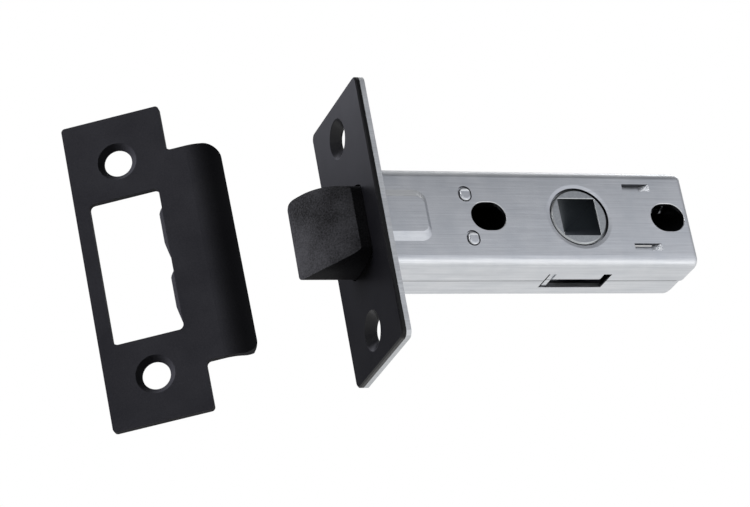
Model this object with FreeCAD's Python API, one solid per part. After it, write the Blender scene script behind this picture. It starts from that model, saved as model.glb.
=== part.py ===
import FreeCAD, Part
import math
import os

# Tubular latch for a door with its strike plate, all in millimetres.
# The origin is the middle of the forend's outer face, on the line of the bolt.
# +X runs into the door, +Z is up, and the wide face of the case that is seen first looks to -Y.

# Forend: a dark cover plate over a plated backing plate
FOREND_LONG = 54.6
FOREND_WIDE = 24.8
FOREND_CORNER = 1.5
COVER_THICK = 0.9
BACKING_THICK = 1.0
COVER_EDGE = 0.25
SCREW_CENTRES = 40.6
SCREW_SIDE = 0.55
SCREW_HOLE = 4.6
SCREW_HEAD = 7.8
SCREW_RIM = 0.3
SCREW_THROAT = 0.35
LINING = 0.5
LINING_GAP = 0.1

# Case: two pressed half shells that meet at a seam in the middle of the thickness
CASE_HIGH = 20.6
CASE_THICK = 14.4
CASE_PAST_SPINDLE = 24.1
SHEET = 1.0
FOLD_RADIUS = 2.0
FRONT_END_FOLD = 1.2
REAR_END_FOLD = 2.2
SEAM = 0.12
RELIEF = 0.5
RELIEF_DEEP = 0.7
END_FLAP_GAP = 0.1

# Raised panel of each shell beside the bolt head
PANEL_BACK = 12.4
PANEL_HIGH = 10.8
PANEL_RISE = 0.7
PANEL_SLOPE = 1.7
PANEL_END_SLOPE = 0.8
PANEL_CORNER = 2.4

# Holes through the case for the handle's fixing bolts
THROUGH_CENTRES = 38.4
THROUGH_LONG = 7.2
THROUGH_WIDE = 6.0
THROUGH_FLARE = 0.1

# Follower: the hub that the spindle turns, with two horns
BACKSET = 44.0
SPINDLE = 7.8
SPINDLE_EDGE = 0.12
HUB_RADIUS = 5.85
HUB_SHOULDER = 6.6
HUB_SIDE_GAP = 0.2
HUB_RIM = 0.3
HUB_HOLE_GAP = 0.35
HUB_HOLE_FLARE = 0.7
HUB_HOLE_DISH = 0.12
HORN_TIP_CENTRE = 9.1
HORN_TIP_RADIUS = 1.1
HORN_WAIST = 1.4
HORN_THICK = 1.8
HORN_FROM_SEAM = 0.65

# Slots in the narrow walls, where the horns pass
SLOT_LONG = 13.5
SLOT_WIDE = 5.7
SLOT_STRIP = 1.0
SLOT_STRIP_GAP = 0.55
SLOT_STRIP_SHORT = 0.4
SLOT_STRIP_LOW = 0.25
TONGUE_LONG = 10.2
TONGUE_BACK_GAP = 1.7
TONGUE_PAST_SEAM = 0.35
TONGUE_CURL = 1.8
TONGUE_FLAT = 1.8

# Bolt
BOLT_OUT = 10.8
BOLT_HIGH = 16.5
BOLT_THICK = 11.7
BOLT_FLAT_SIDE = 5.7
BOLT_INSIDE = 8.2
BOLT_FLANK_OUT = 2.1
BOLT_NOSE_BULGE = 1.68
BOLT_SHOULDER_LONG = 6.6
BOLT_SHOULDER_HIGH = 2.2
BOLT_EDGE = 2.5
BOLT_NOSE_LAND = 1.6
BOLT_NOSE_ROUND = 2.0
BOLT_NOSE_EDGE = 0.5
BOLT_NOSE_CORNER = 0.5
BOLT_GAP = 0.25
BOLT_TRAVEL = 10.8
BOLT_BACK_GAP = 1.1

# Tail arms that join the bolt to the follower's horns
ARM_WIDE = 2.4
ARM_INNER = 6.9
ARM_OUTER = 8.3
ARM_HEAD_INNER = 4.6
ARM_FRONT_GAP = 0.15
LUG_THICK = 1.6
LUG_FOOT = 7.2
LUG_TOP_GAP = 0.25
LUG_REST_GAP = 0.25
LUG_SIDE = 0.45
SEAT_THICK = 1.0
SEAT_GAP = 0.3
RIVET_RADIUS = 1.1
RIVET_SET_IN = 0.25
RIVET_FROM_BACK = 3.0
RIVET_FROM_EDGE = 2.0

# Springs, pegs and the plate that the bolt spring rests on
BOLT_SPRING_RADIUS = 2.8
BOLT_SPRING_WIRE = 0.7
BOLT_BORE_GAP = 0.4
BOLT_BORE_DEPTH = 11.2
SPRING_PLATE_THICK = 1.1
SPRING_PLATE_HIGH = 13.2
SPRING_PLATE_GAP = 0.05
SPIGOT_LONG = 3.0
SPIGOT_GAP = 0.25
RETURN_SPRING_RADIUS = 2.05
RETURN_SPRING_WIRE = 0.6
RETURN_SPRING_SIDE = 0.5
RETURN_SPRING_FROM_WALL = 0.3
PEG_GAP = 0.15
PEG_END_GAP = 0.4
PEG_TENON = 0.8

# Staked tenons of the spring plate, which hold the two shells together
STAKE_HEIGHT = 4.7
STAKE_RECESS_WIDE = 2.8
STAKE_RECESS_HIGH = 3.3
STAKE_RECESS_DEEP = 0.5
STAKE_HEAD_GAP = 0.2
STAKE_HEAD_BACK = 0.15
STAKE_HEAD_ROUND = 0.55
STAKE_HEAD_PROUD = 0.15
STAKE_MARK_WIDE = 0.5
STAKE_MARK_DEEP = 0.25
STAKE_MARK_RISE = 0.6
STAKE_NECK_HIGH = 2.2
STAKE_NECK_GAP = 0.05

# Tabs pressed in near the back of each shell
TAB_PAST_SPINDLE = 10.6
TAB_LONG = 5.9
TAB_WIDE = 1.5
TAB_HEIGHT = 6.45
TAB_DEEP = 1.2
TAB_RAMP = 1.7
TAB_SLIT = 0.05
TAB_END_SLIT = 0.15
TAB_SHEET = 0.8

# Strike plate
STRIKE_LONG = 57.9
STRIKE_WIDE = 17.9
STRIKE_THICK = 1.25
STRIKE_CORNER = 0.7
STRIKE_SCREW_HOLE = 5.0
STRIKE_SCREW_HEAD = 7.0
STRIKE_SCREW_SINK = 0.9
MOUTH_WIDE = 12.66
MOUTH_HIGH = 26.9
MOUTH_CORNER = 0.9
LIP_HIGH = 40.2
LIP_FLAT = 3.35
LIP_BEND = 6.9
LIP_SWEEP = 55.0
LIP_CORNER = 2.6
LIP_ROOT_ROUND = 0.8
TANG_ROOT = 10.0
TANG_TOP_IN = 0.75
TANG_FOOT_IN = 5.5
TANG_TOP_SLOPE = 0.8
TANG_FOOT_SLOPE = 4.0
TANG_UPPER = 4.75
TANG_LOWER = -7.45
TANG_IN = 0.9
TANG_DEEP = 4.3
TANG_BEND = 1.8
STRIKE_X = -52.8
STRIKE_Y = -23.0
STRIKE_Z = -18.5
STRIKE_TURN = -30.1
STRIKE_TILT = -1.2
STRIKE_LEAN = 2.4

# Sizes worked out from the ones above, then how far cutters run past a face
CASE_FRONT = COVER_THICK + BACKING_THICK
CASE_BACK = BACKSET + CASE_PAST_SPINDLE
HALF_THICK = CASE_THICK / 2
HALF_HIGH = CASE_HIGH / 2
IN_SIDE = HALF_THICK - SHEET
IN_TOP = HALF_HIGH - SHEET
END_INNER = CASE_BACK - SHEET
BOLT_MIDDLE = BOLT_FLAT_SIDE - BOLT_THICK / 2
BOLT_FLANK = BOLT_FLAT_SIDE - BOLT_THICK
HORN_SWING = math.degrees(math.asin(BOLT_TRAVEL / (2 * HORN_TIP_CENTRE)))
HORN_FRONT = BACKSET - BOLT_TRAVEL / 2 + HORN_TIP_RADIUS
LUG_FRONT = HORN_FRONT + LUG_REST_GAP
SEAT_FRONT = BACKSET + HUB_SHOULDER + SEAT_GAP
SEAT_BACK = SEAT_FRONT + SEAT_THICK
SPRING_PLATE_FRONT = BOLT_INSIDE + BOLT_TRAVEL + BOLT_BACK_GAP
SPRING_PLATE_BACK = SPRING_PLATE_FRONT + SPRING_PLATE_THICK
STAKE_X = SPRING_PLATE_FRONT + SPRING_PLATE_THICK / 2
TAB_FRONT = BACKSET + TAB_PAST_SPINDLE
BORE_END = BOLT_INSIDE - BOLT_BORE_DEPTH
RETURN_HEIGHT = IN_TOP - RETURN_SPRING_FROM_WALL - RETURN_SPRING_RADIUS
FAR = 100.0
PAST = 1.0
NEAR = 0.01


def box(x0, x1, y0, y1, z0, z1):
    return Part.makeBox(x1 - x0, y1 - y0, z1 - z0, FreeCAD.Vector(x0, y0, z0))


def cylinder_y(x, z, radius, y0, y1):
    return Part.makeCylinder(radius, y1 - y0, FreeCAD.Vector(x, y0, z), FreeCAD.Vector(0, 1, 0))


def cylinder_x(y, z, radius, x0, x1):
    return Part.makeCylinder(radius, x1 - x0, FreeCAD.Vector(x0, y, z), FreeCAD.Vector(1, 0, 0))


def edges_along(shape, direction, test):
    """Straight edges of a shape that run along one direction and pass a test on their middle."""
    found = []
    for edge in shape.Edges:
        if not isinstance(edge.Curve, Part.Line):
            continue
        if abs(edge.Curve.Direction.dot(direction)) < 0.999:
            continue
        if test(edge.CenterOfMass):
            found.append(edge)
    return found


def rounded_rectangle(width, height, radius, place):
    """Closed wire of a rectangle with round corners; place turns (across, up) into a point."""
    half_w = width / 2
    half_h = height / 2
    diagonal = radius * (1 - math.sqrt(0.5))
    edges = []
    corners = [(1, 1), (-1, 1), (-1, -1), (1, -1)]
    last = place(half_w, -half_h + radius)
    for sx, sz in corners:
        along_side = (sx * half_w, sz * (half_h - radius))
        along_top = (sx * (half_w - radius), sz * half_h)
        first, second = (along_side, along_top) if sx * sz > 0 else (along_top, along_side)
        start = place(*first)
        middle = place(sx * (half_w - diagonal), sz * (half_h - diagonal))
        end = place(*second)
        edges.append(Part.LineSegment(last, start).toShape())
        edges.append(Part.Arc(start, middle, end).toShape())
        last = end
    return Part.Wire(edges)


def arc(place, radius, first, last):
    """Arc whose three points come from place(radius, angle)."""
    middle = (first + last) / 2
    return Part.Arc(place(radius, first), place(radius, middle), place(radius, last)).toShape()


def prism(wire, direction):
    return Part.Face(wire).extrude(direction)


def funnel(side, head, throat, end):
    """Cutter or plug at one screw, narrowing at 45 degrees from the forend's face to its throat."""
    z = side * SCREW_CENTRES / 2
    place = FreeCAD.Vector(0, SCREW_SIDE, z)
    cone = Part.makeCone(head / 2, throat / 2, (head - throat) / 2, place, FreeCAD.Vector(1, 0, 0))
    return cone.fuse(cylinder_x(SCREW_SIDE, z, throat / 2, 0, end))


def stadium(x, half_long, half_wide, y):
    """Closed wire of a slot with round ends, lying across Y."""
    run = half_long - half_wide
    points = [(run, half_wide), (run + half_wide, 0), (run, -half_wide), (-run, -half_wide)]
    points += [(-run - half_wide, 0), (-run, half_wide)]
    p = [FreeCAD.Vector(x + dx, y, dz) for dx, dz in points]
    edges = [Part.Arc(p[0], p[1], p[2]).toShape(), Part.LineSegment(p[2], p[3]).toShape()]
    edges += [Part.Arc(p[3], p[4], p[5]).toShape(), Part.LineSegment(p[5], p[0]).toShape()]
    return Part.Wire(edges)


def through_cutter(x):
    """Slot through one shell for a fixing bolt, flared where it meets the outside."""
    half_long = THROUGH_LONG / 2
    half_wide = THROUGH_WIDE / 2
    outside = stadium(x, half_long, half_wide, -HALF_THICK - PAST)
    straight = prism(outside, FreeCAD.Vector(0, HALF_THICK, 0))
    mouth = stadium(x, half_long + THROUGH_FLARE, half_wide + THROUGH_FLARE, -HALF_THICK)
    throat = stadium(x, half_long, half_wide, -HALF_THICK + THROUGH_FLARE)
    return straight.fuse(Part.makeLoft([mouth, throat], True, True))


def hub_cutter():
    """Hole in one shell for the follower, rolled in round its outer rim."""
    radius = HUB_RADIUS + HUB_HOLE_GAP
    hole = cylinder_y(BACKSET, 0, radius, -HALF_THICK - PAST, -IN_SIDE + PAST)
    mouth = radius + HUB_HOLE_FLARE
    centre = FreeCAD.Vector(BACKSET, -HALF_THICK, 0)
    flare = Part.makeCone(mouth, radius, HUB_HOLE_DISH, centre, FreeCAD.Vector(0, 1, 0))
    return hole.fuse(flare)


def panel(rise_from):
    """Raised panel beside the bolt head: a low frustum standing on the face at y = rise_from."""
    length = PANEL_BACK - CASE_FRONT
    foot_middle = PANEL_BACK - length
    foot = rounded_rectangle(
        2 * length, PANEL_HIGH, PANEL_CORNER, lambda a, b: FreeCAD.Vector(foot_middle + a, rise_from, b)
    )
    top = rounded_rectangle(
        2 * (length - PANEL_END_SLOPE),
        PANEL_HIGH - 2 * PANEL_SLOPE,
        PANEL_CORNER - PANEL_END_SLOPE,
        lambda a, b: FreeCAD.Vector(foot_middle + a, rise_from - PANEL_RISE, b),
    )
    whole = Part.makeLoft([foot, top], True, True)
    return whole.common(box(CASE_FRONT, FAR, -FAR, FAR, -FAR, FAR))


def folded_half(end_fold):
    """Half shell on the -Y side: a wide face, two narrow walls and a back wall, with round folds."""
    along_x = FreeCAD.Vector(1, 0, 0)
    along_z = FreeCAD.Vector(0, 0, 1)
    outer = box(CASE_FRONT, CASE_BACK, -HALF_THICK, -SEAM / 2, -HALF_HIGH, HALF_HIGH)
    folds = edges_along(outer, along_x, lambda c: c.y < NEAR - HALF_THICK)
    outer = outer.makeFillet(FOLD_RADIUS, folds)
    back = edges_along(outer, along_z, lambda c: c.y < NEAR - HALF_THICK and c.x > CASE_BACK - NEAR)
    outer = outer.makeFillet(end_fold, back)
    inner = box(CASE_FRONT - PAST, END_INNER, -IN_SIDE, PAST, -IN_TOP, IN_TOP)
    folds = edges_along(inner, along_x, lambda c: c.y < NEAR - IN_SIDE)
    inner = inner.makeFillet(FOLD_RADIUS - SHEET, folds)
    shell = outer.cut(inner)
    notch_y = -HALF_THICK + FOLD_RADIUS
    for side in (-1, 1):
        z0, z1 = sorted((side * (IN_TOP - RELIEF), side * FAR))
        shell = shell.cut(box(CASE_BACK - RELIEF_DEEP, FAR, notch_y - RELIEF, notch_y, z0, z1))
    return shell


def stake_outline(gap, shift, y):
    """Closed wires round the two staked heads, drawn in from the recess and set back in it."""
    wide = STAKE_RECESS_WIDE - 2 * gap
    high = STAKE_RECESS_HIGH - 2 * gap
    wires = []
    for side in (-1, 1):
        middle = side * STAKE_HEIGHT
        place = lambda a, b, z=middle: FreeCAD.Vector(STAKE_X + shift + a, y, z + b)
        wires.append(rounded_rectangle(wide, high, wide / 2 - NEAR, place))
    return wires


def stake_cutters():
    """Recesses for the staked heads and the slots that the necks pass through, in one shell."""
    cutters = []
    for wire in stake_outline(0, 0, -HALF_THICK - PAST):
        cutters.append(prism(wire, FreeCAD.Vector(0, PAST + STAKE_RECESS_DEEP, 0)))
    half_x = SPRING_PLATE_THICK / 2 + STAKE_NECK_GAP
    half_z = STAKE_NECK_HIGH / 2 + STAKE_NECK_GAP
    for side in (-1, 1):
        z = side * STAKE_HEIGHT
        y1 = -IN_SIDE + PAST
        neck = box(STAKE_X - half_x, STAKE_X + half_x, -HALF_THICK, y1, z - half_z, z + half_z)
        cutters.append(neck)
    return cutters


def pressed_tabs():
    """Windows sheared near the back of each shell, and the tabs pressed in from them."""
    windows = []
    tongues = []
    back = TAB_FRONT + TAB_LONG
    front = TAB_FRONT + TAB_END_SLIT
    y_out = -HALF_THICK + TAB_DEEP
    for side in (-1, 1):
        z0 = side * TAB_HEIGHT - TAB_WIDE / 2
        windows.append(box(TAB_FRONT, back, -HALF_THICK - PAST, -IN_SIDE + PAST, z0, z0 + TAB_WIDE))
        outline = [
            (back, -HALF_THICK),
            (back - TAB_RAMP, y_out),
            (front, y_out),
            (front, y_out + TAB_SHEET),
            (back - TAB_RAMP, y_out + TAB_SHEET),
            (back, -IN_SIDE),
            (back, -HALF_THICK),
        ]
        wire = Part.makePolygon([FreeCAD.Vector(x, y, z0) for x, y in outline])
        tongues.append(prism(wire, FreeCAD.Vector(0, 0, TAB_WIDE - TAB_SLIT)))
    return windows, tongues


def half_case(end_fold):
    """What both shells share: folds, raised panel, holes, recesses, tabs and the horn slots."""
    shell = folded_half(end_fold)
    shell = shell.fuse(panel(-HALF_THICK)).cut(panel(-IN_SIDE))
    windows, tongues = pressed_tabs()
    cutters = [hub_cutter()] + stake_cutters() + windows
    slot_front = BACKSET - SLOT_LONG / 2
    for side in (-1, 1):
        cutters.append(through_cutter(BACKSET + side * THROUGH_CENTRES / 2))
        z0, z1 = sorted((side * (IN_TOP - PAST), side * FAR))
        cutters.append(box(slot_front, slot_front + SLOT_LONG, -SLOT_WIDE / 2, PAST, z0, z1))
    for cutter in cutters:
        shell = shell.cut(cutter)
    for tongue in tongues:
        shell = shell.fuse(tongue)
    return shell.removeSplitter()


def slot_strip(side):
    """Narrow strip of the front shell that crosses the horn slot at its front end."""
    front = BACKSET - SLOT_LONG / 2 + SLOT_STRIP_GAP
    z0, z1 = sorted((side * IN_TOP, side * (HALF_HIGH - SLOT_STRIP_LOW)))
    y1 = SLOT_WIDE / 2 - SLOT_STRIP_SHORT
    return box(front, front + SLOT_STRIP, -SLOT_WIDE / 2, y1, z0, z1)


def slot_tongue(side):
    """Tongue of the front shell in the horn slot, with its free edge curled into the case."""
    back = BACKSET + SLOT_LONG / 2 - TONGUE_BACK_GAP
    root = -SLOT_WIDE / 2
    start = root + TONGUE_FLAT
    sweep = math.asin((TONGUE_PAST_SEAM - start) / TONGUE_CURL)
    centre_z = HALF_HIGH - TONGUE_CURL

    def on_curl(radius, angle):
        y = start + radius * math.sin(angle)
        z = centre_z + radius * math.cos(angle)
        return FreeCAD.Vector(back - TONGUE_LONG, y, side * z)

    inner = TONGUE_CURL - SHEET
    root_out = FreeCAD.Vector(back - TONGUE_LONG, root, side * HALF_HIGH)
    root_in = FreeCAD.Vector(back - TONGUE_LONG, root, side * IN_TOP)
    edges = [
        Part.LineSegment(root_out, on_curl(TONGUE_CURL, 0)).toShape(),
        arc(on_curl, TONGUE_CURL, 0, sweep),
        Part.LineSegment(on_curl(TONGUE_CURL, sweep), on_curl(inner, sweep)).toShape(),
        arc(on_curl, inner, sweep, 0),
        Part.LineSegment(on_curl(inner, 0), root_in).toShape(),
        Part.LineSegment(root_in, root_out).toShape(),
    ]
    return prism(Part.Wire(edges), FreeCAD.Vector(TONGUE_LONG, 0, 0))


def front_case_shell():
    """Shell on the -Y side, with the slot tongues and the flap that closes the whole back end."""
    shell = half_case(FRONT_END_FOLD)
    for side in (-1, 1):
        shell = shell.fuse(slot_strip(side)).fuse(slot_tongue(side))
    flap_top = IN_TOP - END_FLAP_GAP
    flap = box(END_INNER, CASE_BACK, -SEAM, IN_SIDE - END_FLAP_GAP, -flap_top, flap_top)
    shell = shell.fuse(flap)
    for side in (-1, 1):
        z = side * RETURN_HEIGHT
        shell = shell.cut(cylinder_x(RETURN_SPRING_SIDE, z, PEG_TENON, END_INNER - PAST, FAR))
    return shell.removeSplitter()


def rear_case_shell():
    """Shell on the +Y side: the front one's mirror image, open at the back for the flap."""
    shell = half_case(REAR_END_FOLD)
    shell = shell.cut(box(END_INNER, FAR, -IN_SIDE, PAST, -IN_TOP, IN_TOP))
    return shell.mirror(FreeCAD.Vector(0, 0, 0), FreeCAD.Vector(0, 1, 0))


def bolt_section(gap, x):
    """Outline of the bolt across its length: flat on one side, with long soft shoulders on the other."""
    high = BOLT_HIGH / 2 + gap
    flat = BOLT_FLAT_SIDE + gap
    flank = BOLT_FLANK - gap
    edge = BOLT_EDGE + gap
    long = BOLT_SHOULDER_LONG
    drop = BOLT_SHOULDER_HIGH
    part = math.sqrt(0.5)

    def point(y, z):
        return FreeCAD.Vector(x, y, z)

    def shoulder(side):
        centre = point(flank + long, side * (high - drop))
        major = point(flank + 2 * long, side * (high - drop))
        minor = point(flank + long, side * high)
        whole = Part.Ellipse(major, minor, centre)
        on_top = whole.parameter(minor)
        on_flank = whole.parameter(point(flank, side * (high - drop)))
        return Part.ArcOfEllipse(whole, min(on_top, on_flank), max(on_top, on_flank)).toShape()

    soft = edge * (1 - part)
    upper = Part.Arc(point(flat, high - edge), point(flat - soft, high - soft), point(flat - edge, high))
    lower = Part.Arc(point(flat, edge - high), point(flat - soft, soft - high), point(flat - edge, -high))
    edges = [
        Part.LineSegment(point(flat, edge - high), point(flat, high - edge)).toShape(),
        upper.toShape(),
        Part.LineSegment(point(flat - edge, high), point(flank + long, high)).toShape(),
        shoulder(1),
        Part.LineSegment(point(flank, high - drop), point(flank, drop - high)).toShape(),
        shoulder(-1),
        Part.LineSegment(point(flank + long, -high), point(flat - edge, -high)).toShape(),
        lower.toShape(),
    ]
    return Part.Wire(Part.__sortEdges__(edges))


def bolt_plan():
    """Outline of the bolt from above: a short straight flank, then a bowed bevel to a blunt nose."""
    half_sweep_x = (BOLT_FLANK_OUT + BOLT_OUT) / 2 + BOLT_NOSE_BULGE
    low = -BOLT_HIGH
    land_y = BOLT_FLAT_SIDE - BOLT_NOSE_LAND
    flank = FreeCAD.Vector(-BOLT_FLANK_OUT, BOLT_FLANK, low)
    middle = FreeCAD.Vector(-half_sweep_x, (BOLT_FLANK + land_y) / 2, low)
    land = FreeCAD.Vector(-BOLT_OUT, land_y, low)
    nose = FreeCAD.Vector(-BOLT_OUT, BOLT_FLAT_SIDE, low)
    flat_corner = FreeCAD.Vector(BOLT_INSIDE, BOLT_FLAT_SIDE, low)
    flank_corner = FreeCAD.Vector(BOLT_INSIDE, BOLT_FLANK, low)
    edges = [
        Part.Arc(flank, middle, land).toShape(),
        Part.LineSegment(land, nose).toShape(),
        Part.LineSegment(nose, flat_corner).toShape(),
        Part.LineSegment(flat_corner, flank_corner).toShape(),
        Part.LineSegment(flank_corner, flank).toShape(),
    ]
    solid = prism(Part.Wire(edges), FreeCAD.Vector(0, 0, 2 * BOLT_HIGH))
    along_z = FreeCAD.Vector(0, 0, 1)
    inner = edges_along(solid, along_z, lambda c: c.x < NEAR - BOLT_OUT and c.y < land_y + NEAR)
    solid = solid.makeFillet(BOLT_NOSE_ROUND, inner)
    tip = edges_along(solid, along_z, lambda c: c.x < NEAR - BOLT_OUT and c.y > BOLT_FLAT_SIDE - NEAR)
    return solid.makeFillet(BOLT_NOSE_EDGE, tip)


def bolt_side():
    """Outline of the bolt from the side, with the nose's two corners rounded."""
    back = BOLT_INSIDE
    block = box(-BOLT_OUT, back, -FAR, FAR, -BOLT_HIGH / 2, BOLT_HIGH / 2)
    corners = edges_along(block, FreeCAD.Vector(0, 1, 0), lambda c: c.x < 0)
    return block.makeFillet(BOLT_NOSE_CORNER, corners)


def rivet_place(side):
    return BOLT_INSIDE - RIVET_FROM_BACK, side * (BOLT_HIGH / 2 - RIVET_FROM_EDGE)


def latch_bolt():
    """Bolt head: bevelled nose, bore for its spring and two slots for the tail arms."""
    length = BOLT_OUT + BOLT_INSIDE
    head = prism(bolt_section(0, -BOLT_OUT), FreeCAD.Vector(length, 0, 0))
    head = head.common(bolt_plan()).common(bolt_side())
    bore = BOLT_SPRING_RADIUS + BOLT_BORE_GAP
    head = head.cut(cylinder_x(BOLT_MIDDLE, 0, bore, BORE_END, FAR))
    for side in (-1, 1):
        z0, z1 = sorted((side * ARM_HEAD_INNER, side * FAR))
        head = head.cut(box(CASE_FRONT + ARM_FRONT_GAP, FAR, -ARM_WIDE, 0, z0, z1))
        x, z = rivet_place(side)
        head = head.cut(cylinder_y(x, z, RIVET_RADIUS, -FAR, FAR))
    return head


def tail_arm(side):
    """Steel arm from the bolt past the follower, with a lug for a horn and a seat for a spring."""
    front = CASE_FRONT + ARM_FRONT_GAP
    horn_side = HORN_FROM_SEAM + HORN_THICK
    seat_side = RETURN_SPRING_SIDE + RETURN_SPRING_RADIUS
    seat_foot = RETURN_HEIGHT - RETURN_SPRING_RADIUS
    lug_top = IN_TOP - LUG_TOP_GAP
    pieces = [
        box(front, BOLT_INSIDE, -ARM_WIDE, 0, ARM_HEAD_INNER, ARM_OUTER),
        box(BOLT_INSIDE, SEAT_BACK, -ARM_WIDE, 0, ARM_INNER, ARM_OUTER),
        box(LUG_FRONT, LUG_FRONT + LUG_THICK, -ARM_WIDE, LUG_SIDE, ARM_INNER, ARM_OUTER),
        box(LUG_FRONT, LUG_FRONT + LUG_THICK, LUG_SIDE, horn_side, LUG_FOOT, lug_top),
        box(SEAT_FRONT, SEAT_BACK, -ARM_WIDE, seat_side, seat_foot, lug_top),
    ]
    arm = pieces[0].multiFuse(pieces[1:]).removeSplitter()
    if side < 0:
        arm = arm.mirror(FreeCAD.Vector(0, 0, 0), FreeCAD.Vector(0, 0, 1))
    x, z = rivet_place(side)
    return arm.cut(cylinder_y(x, z, RIVET_RADIUS, -FAR, FAR))


def tail_rivet(side):
    x, z = rivet_place(side)
    return cylinder_y(x, z, RIVET_RADIUS, BOLT_FLANK + RIVET_SET_IN, BOLT_FLAT_SIDE - RIVET_SET_IN)


def horn(side):
    """One horn, leaning forward from the hub at rest."""
    y0 = HORN_FROM_SEAM
    half = HORN_WAIST / 2
    shank = box(-half, half, y0, y0 + HORN_THICK, HUB_RADIUS - PAST, HORN_TIP_CENTRE)
    piece = shank.fuse(cylinder_y(0, HORN_TIP_CENTRE, HORN_TIP_RADIUS, y0, y0 + HORN_THICK))
    piece.rotate(FreeCAD.Vector(0, 0, 0), FreeCAD.Vector(0, 1, 0), -HORN_SWING)
    if side < 0:
        piece = piece.mirror(FreeCAD.Vector(0, 0, 0), FreeCAD.Vector(0, 0, 1))
    piece.translate(FreeCAD.Vector(BACKSET, 0, 0))
    return piece


def spindle_cutter(y0, y1):
    half = SPINDLE / 2
    return box(BACKSET - half, BACKSET + half, y0, y1, -half, half)


def spindle_chamfer(side):
    """Cutter that breaks the edges of the square hole on one face of the hub."""
    face = side * HALF_THICK
    wires = []
    for wide, y in ((SPINDLE / 2 + SPINDLE_EDGE, face), (SPINDLE / 2, face - side * SPINDLE_EDGE)):
        corners = [(1, 1), (-1, 1), (-1, -1), (1, -1), (1, 1)]
        points = [FreeCAD.Vector(BACKSET + a * wide, y, b * wide) for a, b in corners]
        wires.append(Part.makePolygon(points))
    return Part.makeLoft(wires, True, True)


def follower():
    """Hub with a square spindle hole, two bearing ends and two horns."""
    shoulder = IN_SIDE - HUB_SIDE_GAP
    neck = cylinder_y(BACKSET, 0, HUB_RADIUS, -HALF_THICK, HALF_THICK)
    rims = [edge for edge in neck.Edges if abs(abs(edge.CenterOfMass.y) - HALF_THICK) < NEAR]
    neck = neck.makeChamfer(HUB_RIM, rims)
    hub = neck.fuse(cylinder_y(BACKSET, 0, HUB_SHOULDER, -shoulder, shoulder))
    hub = hub.fuse(horn(1)).fuse(horn(-1)).cut(spindle_cutter(-FAR, FAR))
    for side in (-1, 1):
        hub = hub.cut(spindle_chamfer(side))
    return hub.removeSplitter()


def forend_blank(x0, x1):
    wire = rounded_rectangle(
        FOREND_WIDE, FOREND_LONG, FOREND_CORNER, lambda a, b: FreeCAD.Vector(x0, a, b)
    )
    return prism(wire, FreeCAD.Vector(x1 - x0, 0, 0))


def forend_mouth():
    """Cutter for the bolt's mouth through both plates."""
    return prism(bolt_section(BOLT_GAP, -PAST), FreeCAD.Vector(CASE_FRONT + 2 * PAST, 0, 0))


def outer_forend():
    """Dark cover plate, its screw holes dimpled back through the backing plate."""
    plate = forend_blank(0, COVER_THICK)
    rim = [edge for edge in plate.Edges if edge.BoundBox.XMax < NEAR]
    plate = plate.makeChamfer(COVER_EDGE, rim)
    lining_end = (SCREW_HEAD - SCREW_HOLE) / 2 + SCREW_THROAT
    grow = 2 * LINING
    for side in (-1, 1):
        lining = funnel(side, SCREW_HEAD + math.sqrt(2) * grow, SCREW_HOLE + grow, lining_end)
        plate = plate.fuse(lining.common(box(COVER_THICK / 2, FAR, -FAR, FAR, -FAR, FAR)))
        plate = plate.cut(funnel(side, SCREW_HEAD, SCREW_HOLE, FAR))
    circles = [edge for edge in plate.Edges if isinstance(edge.Curve, Part.Circle)]
    rims = [edge for edge in circles if abs(edge.Curve.Radius - SCREW_HEAD / 2) < NEAR]
    plate = plate.makeFillet(SCREW_RIM, [edge for edge in rims if abs(edge.Curve.Center.x) < NEAR])
    return plate.cut(forend_mouth())


def inner_forend():
    """Backing plate, with dimples that the cover plate's linings nest in."""
    plate = forend_blank(COVER_THICK, CASE_FRONT).cut(forend_mouth())
    grow = 2 * (LINING + LINING_GAP)
    for side in (-1, 1):
        plate = plate.cut(funnel(side, SCREW_HEAD + math.sqrt(2) * grow, SCREW_HOLE + grow, FAR))
    return plate


def tube_x(y, z, outer, inner, x0, x1):
    return cylinder_x(y, z, outer, x0, x1).cut(cylinder_x(y, z, inner, x0 - PAST, x1 + PAST))


def bolt_spring():
    """Space of the bolt spring's coils, from the end of the bore to the spring plate."""
    inner = BOLT_SPRING_RADIUS - BOLT_SPRING_WIRE
    return tube_x(BOLT_MIDDLE, 0, BOLT_SPRING_RADIUS, inner, BORE_END, SPRING_PLATE_FRONT)


def return_spring(side):
    """Space of a return spring's coils, from the arm's seat to the back wall."""
    inner = RETURN_SPRING_RADIUS - RETURN_SPRING_WIRE
    z = side * RETURN_HEIGHT
    return tube_x(RETURN_SPRING_SIDE, z, RETURN_SPRING_RADIUS, inner, SEAT_BACK, END_INNER)


def chisel_mark(middle, top):
    """Small V across a staked head, a little above its middle."""
    z = middle + STAKE_MARK_RISE
    half = STAKE_MARK_WIDE / 2
    corners = [(top, z - half), (top, z + half), (top - STAKE_MARK_DEEP, z), (top, z - half)]
    start = STAKE_X - STAKE_RECESS_WIDE
    wire = Part.makePolygon([FreeCAD.Vector(start, a, b) for a, b in corners])
    return prism(wire, FreeCAD.Vector(2 * STAKE_RECESS_WIDE, 0, 0))


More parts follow.
